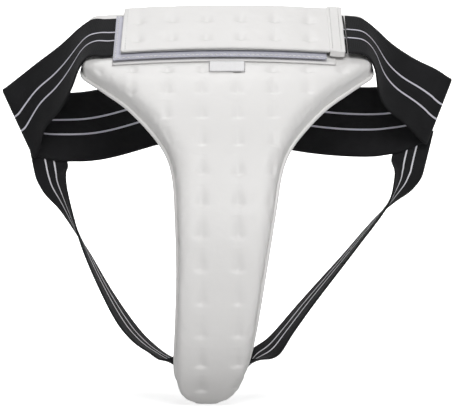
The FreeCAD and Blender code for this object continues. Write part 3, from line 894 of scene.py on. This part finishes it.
def split_shield(obj):
    """The front cover and the back lining, parted along the rim, and the rim's line."""
    points = coordinates(obj)
    height = shield_place(points)[1]
    faces = [list(p.vertices) for p in obj.data.polygons]
    is_front = [np.mean(height[f]) > -WALL_SEAM for f in faces]
    spots, distance = nearest_of(CORD_CLOUD, points)
    pull = RIM_PULL * smoothstep(0.0, RIM_REACH - 1, RIM_REACH - distance)
    points = points + (spots - points) * pull[:, None]
    parts = []
    for name, wanted in (("front_cover_soft", True), ("back_lining_soft", False)):
        chosen = [f for f, flag in zip(faces, is_front) if flag == wanted]
        used = sorted({v for f in chosen for v in f})
        index = {v: i for i, v in enumerate(used)}
        uvs = points[used][:, [0, 2]]
        parts.append(new_object(name, points[used], [[index[v] for v in f] for f in chosen], uvs))
    border = {}
    for f, flag in zip(faces, is_front):
        for a, b in zip(f, f[1:] + f[:1]):
            border.setdefault((min(a, b), max(a, b)), []).append(flag)
    ring = {}
    for (a, b), flags in border.items():
        if len(flags) == 2 and flags[0] != flags[1]:
            ring.setdefault(a, []).append(b)
            ring.setdefault(b, []).append(a)
    line = longest_loop(ring)
    rim = points[line]
    bpy.data.objects.remove(obj)
    return parts[0], parts[1], rim


def longest_loop(ring):
    """The longest closed line in a map from each vertex to its neighbours."""
    best, seen = [], set()
    for start in sorted(ring):
        if start in seen:
            continue
        line = [start]
        seen.add(start)
        while True:
            following = [v for v in ring[line[-1]] if v not in seen]
            if not following:
                break
            line.append(following[0])
            seen.add(following[0])
        if len(line) > len(best):
            best = line
    return best


def rim_cord(rim):
    """The piping's path: the rim line laid on the middle of the CAD piping and smoothed round its loop."""
    closed = np.concatenate([rim, rim[:1]])
    path = resample(closed, int(lengths(closed)[-1] / 1.5))[:-1]
    path = nearest_of(CORD_CLOUD, path)[0]
    for _ in range(5):
        path = path * 0.5 + (np.roll(path, 1, axis=0) + np.roll(path, -1, axis=0)) * 0.25
    closed = np.concatenate([path, path[:1]])
    return resample(closed, len(closed))[:-1]


def shield_outward(points):
    """Direction out of the front face at the level of each point."""
    down, _ = shield_place(points)
    directions = unit(np.gradient(PROFILE, axis=0))
    y = np.interp(down, PROFILE_RUN, directions[:, 1])
    z = np.interp(down, PROFILE_RUN, -directions[:, 0])
    return unit(np.stack([np.zeros(len(points)), y, z], axis=1))


SHIELD_LENGTH = PROFILE_RUN[-1]
CORD_CLOUD = cord_cloud()
shell = merged_shield()
fill_shield(shell)
puff(shell)
refine(shell, 2)
press_relief(shell)
cover, lining, rim = split_shield(shell)
settle(cover, SHIELD, "cover_leather", ["front_cover"])
settle(lining, SHIELD, "lining_cloth", ["back_lining"])
piping = tube("edge_piping_cord", rim_cord(rim), CORD_RADIUS, closed=True)
settle(piping, SHIELD, "cover_leather", ["edge_piping"])


def foam_pad(node, name):
    """A foam layer, pressed down under the cover so that it stays clear of the dents."""
    pad = soft_copy(node, name, 2.5, 2)
    points = coordinates(pad)
    height = shield_place(points)[1]
    under_cover = smoothstep(-6.0, -2.5, height)
    set_coordinates(pad, points - shield_outward(points) * (under_cover * DENT_DEPTH)[:, None])
    settle(pad, SHIELD, "padding_foam", [node])


foam_pad("outer_foam", "outer_foam_pad")
foam_pad("inner_foam", "inner_foam_pad")
dress(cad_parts["cup_shell"], "shell_plastic")

# ---------------------------------------------------------------- strips on the upper shield

FORWARD = (0, -1, 0.6)


def strip_run(node, spacing=1.0):
    """Stations along a strip of the closure, from its right-hand end."""
    return evenly(stations(selvedges(node, (1, 0, 0)), spacing=spacing), spacing)


def strap_relief(across, along, points):
    """Dents and soft unevenness of the closure strap's face."""
    x = points[:, 0]
    sign = -1 if strap_flipped else 1
    dents = dent_field(x, sign * across, STRAP_DENT_X, STRAP_DENT_ROW, STRAP_DENT_PITCH_S)
    inside = smoothstep(1.0, 6.0, x - points[:, 0].min()) * smoothstep(1.0, 6.0, points[:, 0].max() - x)
    soft = np.array([noise.fractal(Vector(p) * 0.05, 0.8, 2.1, 3) for p in points]) * 0.25
    return soft - dents * inside


def wavy(run, amount):
    """Gives a strip's two edges a slight hand-cut waviness."""
    centres, halves = run
    along = lengths(centres)
    sway = 1 + amount * (np.sin(along / 17.0) + 0.6 * np.sin(along / 7.3 + 1.0))
    return centres, halves * sway[:, None]


face_run = strip_run("strap_face")
strap_flipped = face_run[1][0][2] > 0
strap_face = webbing("strap_face_soft", wavy(face_run, 0.006), thickness_of("strap_face") + 0.5, 61,
                     FORWARD, strap_relief, edge=1.6, bulge=0.3)
settle(strap_face, "closure_strap", "closure_leather", ["strap_face"])


def brushed(across, along, points):
    """The uneven nap of the loop tape."""
    return np.array([noise.noise(Vector(p) * 0.9) for p in points]) * 0.25


for node, name, body, slot, wide, relief in (
    ("closure_panel", "closure_panel_soft", SHIELD, "cover_leather", 0.5, None),
    ("loop_tape", "loop_tape_brushed", SHIELD, "loop_cloth", 0.4, brushed),
    ("strap_lining", "strap_lining_cloth", "closure_strap", "lining_cloth", 0.3, None),
    ("hook_tape", "hook_tape_base", "closure_strap", "hook_plastic", 0.3, None),
    ("elastic_end", "elastic_end_woven", "closure_strap", "elastic", 0.7, None),
):
    piece = webbing(name, strip_run(node, 1.4), thickness_of(node), 41, FORWARD, relief, edge=wide)
    settle(piece, body, slot, [node])

hem = soft_copy("strap_hem", "strap_hem_soft", 0.4, 6, 0.25)
settle(hem, "closure_strap", "closure_leather", ["strap_hem"])
patch = soft_copy("anchor_patch", "anchor_patch_soft", 0.35, 5, 0.15)
settle(patch, SHIELD, "cover_leather", ["anchor_patch"])


def hooks():
    """Small nylon hooks on the back of the closure strap."""
    centres, halves = strip_run("hook_tape", 2.2)
    tangents = unit(np.gradient(centres, axis=0))
    normals = unit(np.cross(tangents, halves))
    if normals[0] @ np.array(FORWARD) > 0:
        normals = -normals
    points, faces, uvs = [], [], []
    for i, centre in enumerate(centres[1:-1], 1):
        for j, u in enumerate(np.linspace(-0.95, 0.95, HOOKS_ACROSS)):
            base = len(points)
            lean = 1 if (i + j) % 2 else -1
            for high, out, radius in HOOK_RINGS:
                spot = centre + halves[i] * u + normals[i] * (HOOK_ROOT + high) + tangents[i] * (out * lean)
                for k in range(HOOK_SIDES):
                    turn = 2 * math.pi * k / HOOK_SIDES
                    side = tangents[i] * math.cos(turn) + unit(halves[i]) * math.sin(turn)
                    points.append(spot + side * radius)
                    uvs.append((i, j))
            faces += ring_faces(base, len(HOOK_RINGS), HOOK_SIDES)
            faces.append([base + (len(HOOK_RINGS) - 1) * HOOK_SIDES + k for k in range(HOOK_SIDES)])
    return new_object("hook_tape_hooks", points, faces, uvs)


hook_field = hooks()
dress(hook_field, "hook_plastic")
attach(hook_field, "closure_strap")


def thread_runs(node, facing):
    """Stations of each sewn row of a node."""
    lines = narrow_lines(node, thickness_of(node), ends=True)
    runs = []
    while lines:
        one = lines.pop()
        gaps = [np.linalg.norm(line[len(line) // 2] - one[len(one) // 2]) for line in lines]
        other = lines.pop(int(np.argmin(gaps)))
        if np.linalg.norm(other[0] - one[0]) > np.linalg.norm(other[-1] - one[0]):
            other = other[::-1]
        centres, halves = stations((one, other), spacing=2.0)
        runs.append((centres, halves, np.array(facing, float)))
    return runs


for node, name, body, slot, facing in (
    ("panel_stitching", "panel_stitches", SHIELD, "thread", FORWARD),
    ("strap_stitching", "strap_stitches", "closure_strap", "thread", FORWARD),
):
    settle(stitches(name, thread_runs(node, facing)), body, slot, [node])
bars = stitches("strap_bartack_stitches", thread_runs("strap_bartacks", (0, 1, 0)), 0.8, 0.5, -0.1)
settle(bars, SHIELD, "black_thread", ["strap_bartacks"])

# ---------------------------------------------------------------- belt and leg straps

def belt_runs():
    """Stations of the belt: rear run, left side and front; right-hand fold; right-hand side."""
    whole = selvedges("waistband", (1, 0, 0), thickness_of("waistband_arm"))
    rear_and_left = stations(whole, turn_axis=(-1, 0, 0), spacing=1.2)
    fold = stations(selvedges("waistband_fold", (0, 1, 0)), turn_axis=(1, 0, 0), spacing=0.6)
    arm = stations(selvedges("waistband_arm", (1, 0, -0.2)), spacing=1.2)
    return rear_and_left, fold, arm


rear_and_left, fold, arm = belt_runs()
centres, halves = rear_and_left
split = int(np.argmin(np.abs(centres[:len(centres) // 2, 0])))
left_run = (centres[split:], halves[split:])
right_rear = (centres[:split + 1][::-1], halves[:split + 1][::-1])
right_run = joined(right_rear, fold, arm)


def belt_piece(name, run, facing, spacing=1.3):
    """One piece of the elastic belt."""
    centres, halves = evenly(run, spacing)
    return webbing(name, (smoothed(centres, 2), smoothed(halves, 4)), BELT_THICKNESS, 33, facing, edge=0.9)


belt_left = belt_piece("belt_left", left_run, (0, 1, 0))
settle(belt_left, SHIELD, "elastic", ["waistband"])
belt_right = belt_piece("belt_right", right_run, (0, 1, 0))
dress(belt_right, "elastic")
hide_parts("waistband_fold", "waistband_arm")
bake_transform(belt_right)


def leg_strap(side, toward_foot):
    """The upper and lower halves of a leg strap, each curving round its own sewn end."""
    parts = [
        stations(selvedges(side + "_strap_top", (0, 0, 1))),
        stations(selvedges(side + "_leg_strap", (0, 0, 1))),
        stations(selvedges(side + "_strap_foot", toward_foot)),
    ]
    centres, halves = evenly(joined(*parts), 1.6)
    centres, halves = smoothed(centres, 3), smoothed(halves, 6)
    halves = unit(halves) * np.linalg.norm(parts[0][1][0])
    half_way = len(centres) // 2
    pieces = []
    for name, part in (("upper", slice(0, half_way + 1)), ("lower", slice(half_way, None))):
        run = (centres[part], halves[part])
        piece = webbing(f"{side}_strap_{name}", run, BELT_THICKNESS, 19, (0, 1, 0), edge=0.9)
        dress(piece, "elastic", "strap_elastic")
        pieces.append(piece)
    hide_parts(side + "_strap_top", side + "_leg_strap")
    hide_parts(side + "_strap_foot")
    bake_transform(pieces[0])
    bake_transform(pieces[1])


leg_strap("left", (-1, 0, 0))
leg_strap("right", (1, 0, 0))


# ---------------------------------------------------------------- tag

def tag_run():
    """A satin tape folded double: down the front leaf, round the fold, and up the rear leaf."""
    low, high = (np.array(corner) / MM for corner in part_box("size_tag"))
    middle_x = (low[0] + high[0]) / 2
    points = solids_of("size_tag")[0][0]
    rear_root = points[np.argmax(points[:, 1])]
    tip = points[np.argmin(points[:, 2])]
    down = unit((tip - rear_root) * np.array([0, 1, 1]))
    out = unit(np.array([0, down[2], -down[1]]))
    out = out if out[1] < 0 else -out
    length = (tip - rear_root) @ down
    leaf, fold_radius = length - 0.6, 0.42
    path = []
    for t in np.linspace(0, 1, 14):
        path.append(leaf * t * down + out * (0.25 + 0.35 * t * t))
    fold_start = path[-1]
    for degrees in range(20, 180, 20):
        turn = math.radians(degrees)
        path.append(fold_start + fold_radius * (down * math.sin(turn) + out * (1 - math.cos(turn))))
    for t in np.linspace(1, 0, 14):
        path.append(leaf * t * down + out * (1.09 + 0.75 * t * t - 0.25 * t))
    centres = np.array(path) + np.array([middle_x, rear_root[1], rear_root[2]])
    halves = np.tile([(high[0] - low[0]) / 2, 0, 0], (len(path), 1))
    return evenly((centres, halves), 0.5)


tag = webbing("size_tag_folded", tag_run(), 0.38, 25, (0, -1, 0.5), edge=0.2)
settle(tag, "tag", "tag_cloth", ["size_tag"])

# ---------------------------------------------------------------- studio

def area_light(name, place, target, size, power):
    """A rectangular lamp pointed at a target."""
    data = bpy.data.lights.new(name, "AREA")
    data.shape = "RECTANGLE"
    data.size, data.size_y = size
    data.energy = power
    light = bpy.data.objects.new(name, data)
    light.location = place
    light.rotation_euler = (Vector(target) - Vector(place)).to_track_quat("-Z", "Y").to_euler()
    bpy.context.scene.collection.objects.link(light)


def studio():
    """Pale floor curving up behind the object, a pale world and three soft lamps."""
    low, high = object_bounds()
    middle = (Vector(low) + Vector(high)) / 2
    floor_z = low[2] - 0.001
    profile = [(-FLOOR_REACH, floor_z), (FLOOR_BACK, floor_z)]
    for step in range(1, 9):
        turn = math.radians(90) * step / 8
        back, up = FLOOR_CURVE * math.sin(turn), FLOOR_CURVE * (1 - math.cos(turn))
        profile.append((FLOOR_BACK + back, floor_z + up))
    profile.append((FLOOR_BACK + FLOOR_CURVE, floor_z + FLOOR_REACH))
    points = [(x / MM, y / MM, z / MM) for x in (-FLOOR_REACH, FLOOR_REACH) for y, z in profile]
    count = len(profile)
    faces = [(i, i + 1, count + i + 1, count + i) for i in range(count - 1)]
    floor = new_object("studio_floor", points, faces)
    recipe = Recipe("studio_paper")
    recipe.finish((0.7, 0.7, 0.7, 1.0), 0.9)
    recipe.shader.inputs["Emission Color"].default_value = (1, 1, 1, 1)
    glow = recipe.maths("MULTIPLY", recipe.add("ShaderNodeLightPath").outputs["Is Camera Ray"], FLOOR_GLOW)
    recipe.link(glow, recipe.shader.inputs["Emission Strength"])
    floor.data.materials.append(recipe.material)
    world = bpy.data.worlds.new("studio_world")
    world.use_nodes = True
    tree = world.node_tree
    background = tree.nodes["Background"]
    background.inputs["Color"].default_value = (1, 1, 1, 1)
    seen = tree.nodes.new("ShaderNodeLightPath").outputs["Is Camera Ray"]
    strength = tree.nodes.new("ShaderNodeMapRange")
    tree.links.new(seen, strength.inputs["Value"])
    strength.inputs["To Min"].default_value = WORLD_LIGHT
    strength.inputs["To Max"].default_value = WORLD_SEEN
    tree.links.new(strength.outputs["Result"], background.inputs["Strength"])
    bpy.context.scene.world = world
    bpy.context.scene.view_settings.view_transform = "Standard"
    overhead = middle + Vector((-0.1, 0.15, high[2] - middle.z + 0.9))
    front = middle + Vector((0.2, -1.3, high[2] - middle.z + 0.78))
    behind = middle + Vector((0, 0.9, high[2] - middle.z + 1.0))
    wall = Vector((middle.x, FLOOR_BACK + FLOOR_CURVE, middle.z))
    area_light("key", overhead, middle, (0.6, 0.4), KEY_POWER)
    area_light("fill", front, middle, (0.8, 0.6), FILL_POWER)
    area_light("backdrop", behind, wall, (2.4, 0.8), BACKDROP_POWER)


studio()

camera = bpy.data.cameras.new("camera")
camera.lens = CAMERA_LENS
camera.sensor_width = CAMERA_SENSOR
camera_object = bpy.data.objects.new("camera", camera)
camera_object.location = (0.0, -CAMERA_DISTANCE, CAMERA_HEIGHT)
camera_object.rotation_euler = (math.radians(90), 0, 0)
bpy.context.scene.collection.objects.link(camera_object)
bpy.context.scene.camera = camera_object
